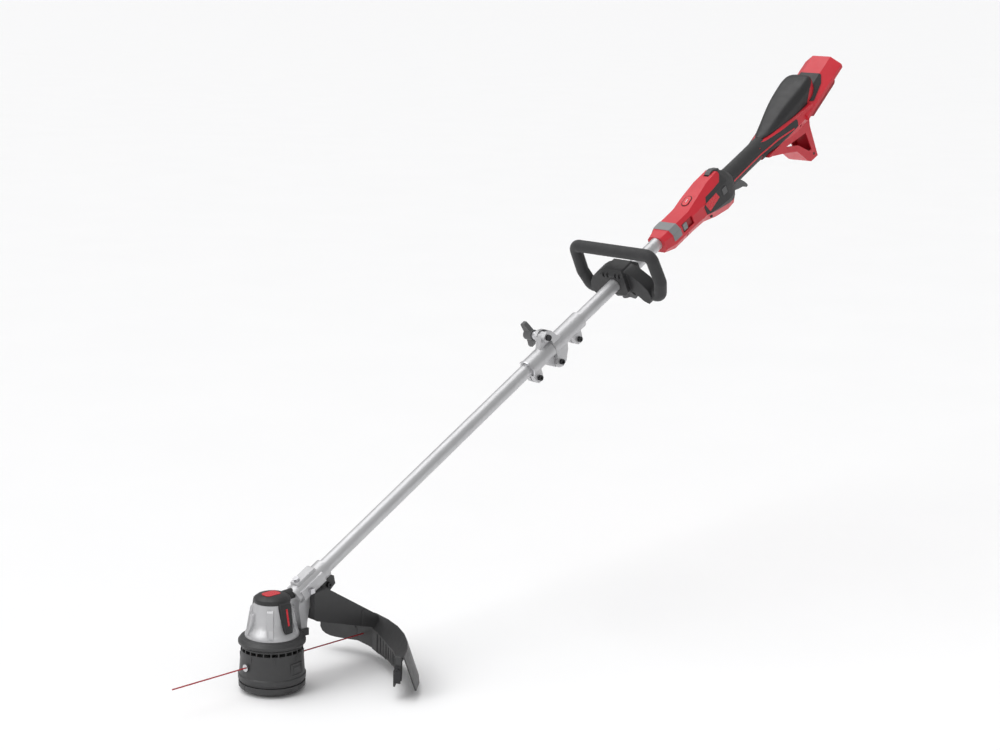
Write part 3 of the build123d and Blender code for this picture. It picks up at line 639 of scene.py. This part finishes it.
# ---------------------------------------------------------------- teardrop cover
COVER = [  # x, top, top_y, high, side_y, low, bottom, bottom_y
    (1461, 15, 5, 13, 8, 11, 10, 7),
    (1482, 20, 10.7, 15, 17, 11, 10, 15),
    (1542, 41, 21.8, 26, 29, 12, 10, 27),
    (1596, 53, 27.5, 38, 35, 16, 12, 32),
    (1622, 57, 27.5, 42, 33, 22, 14, 30),
    (1638, 55, 23, 43, 27, 26, 14, 24),
    (1646, 46, 17, 40, 20, 28, 14, 18),
]
COVER_FRONT, COVER_REAR = 1461, 1638


def smooth_row(rows, x):
    """Columns at x on a curve through the rows."""
    i = max(1, next((k for k, row in enumerate(rows) if row[0] >= x), len(rows) - 1))
    before, after = rows[i - 1], rows[i]
    span = after[0] - before[0]
    t = (x - before[0]) / span
    values = []
    for c in range(1, len(before)):
        slopes = []
        for k in (i - 1, i):
            lo, hi = rows[max(k - 1, 0)], rows[min(k + 1, len(rows) - 1)]
            slopes.append(span * (hi[c] - lo[c]) / (hi[0] - lo[0]))
        h = (2 * t**3 - 3 * t**2 + 1, t**3 - 2 * t**2 + t, 3 * t**2 - 2 * t**3, t**3 - t**2)
        values.append(h[0] * before[c] + h[1] * slopes[0] + h[2] * after[c] + h[3] * slopes[1])
    return values


def rounded_outline(points, radii, steps=5):
    """Closed outline with each corner replaced by a short curve."""
    result = []
    count = len(points)
    for i, (corner, radius) in enumerate(zip(points, radii)):
        here = Vector(corner)
        arms = []
        for other in (points[i - 1], points[(i + 1) % count]):
            arm = Vector(other) - here
            arms.append(here + arm.normalized() * min(radius, arm.length * 0.45))
        for k in range(steps + 1):
            t = k / steps
            point = arms[0] * (1 - t) ** 2 + here * 2 * t * (1 - t) + arms[1] * t**2
            result.append((point.x, point.y))
    return result


def cover_outline(x, inset):
    top, top_y, high, side_y, low, bottom, bottom_y = smooth_row(COVER, x)
    half = [
        (top_y * 0.5, top + 0.8 - inset), (top_y + 1.0, top - 1.0 - inset), (side_y - inset, high),
        (side_y - inset, low + inset), (bottom_y - inset, bottom),
    ]
    points = half + [(-y, z) for y, z in reversed(half)]
    radii = [8, 9, 3.2, 2, 1, 1, 2, 3.2, 9, 8]
    return rounded_outline(points, radii)


def cover_loft(start, end, inset, notch, stations=40):
    """Loft along the cover; the rear edge stands further forward down the sides by notch."""
    rings = []
    upper, lower = 47.0, 33.0
    ends = []
    for _, z in cover_outline(end, inset):
        share = min(1.0, max(0.0, (upper - z) / (upper - lower)))
        ends.append(end - notch * share)
    for k in range(stations + 1):
        t = k / stations
        ring = []
        for i, stop in enumerate(ends):
            x = start + (stop - start) * t
            y, z = cover_outline(x, inset)[i]
            ring.append((x, y, z))
        rings.append(ring)
    for shift, scale in ((1.0, 0.975), (1.2, 0.9)):
        last = rings[stations]
        mid = sum(z for _, _, z in last) / len(last)
        rings.append([(x + shift, y * scale, mid + (z - mid) * scale) for x, y, z in last])
    first = rings[0]
    rings.insert(0, [(x - 1.0, y * 0.8, 12 + (z - 12) * 0.8) for x, y, z in first])
    return ring_loft(rings)


def make_cover():
    """The black cover, and a red trim just under its surface that runs on past its rear edge."""
    shell = cover_loft(COVER_FRONT, COVER_REAR, 0.0, 42)
    cover = from_bmesh("cover_shell", shell, SHAFT, "black_plastic", "handle", angle=50)
    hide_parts("top_cover")
    trim = cover_loft(COVER_FRONT + 1, COVER_REAR + 5, 0.9, 4)
    from_bmesh("cover_trim", trim, SHAFT, "red_plastic", "handle", angle=50)


make_camera()
make_studio()
MATERIALS = make_materials()
make_floor()
make_line("cutting_line_front", "line_front", -1)
make_line("cutting_line_rear", "line_rear", 1)
dress_nodes()
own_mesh(frame["nodes"]["bump_spring"])
make_drum_details()
make_housing_details()
make_guard_details()
make_coupler_details()
make_rear_details()
make_cover()
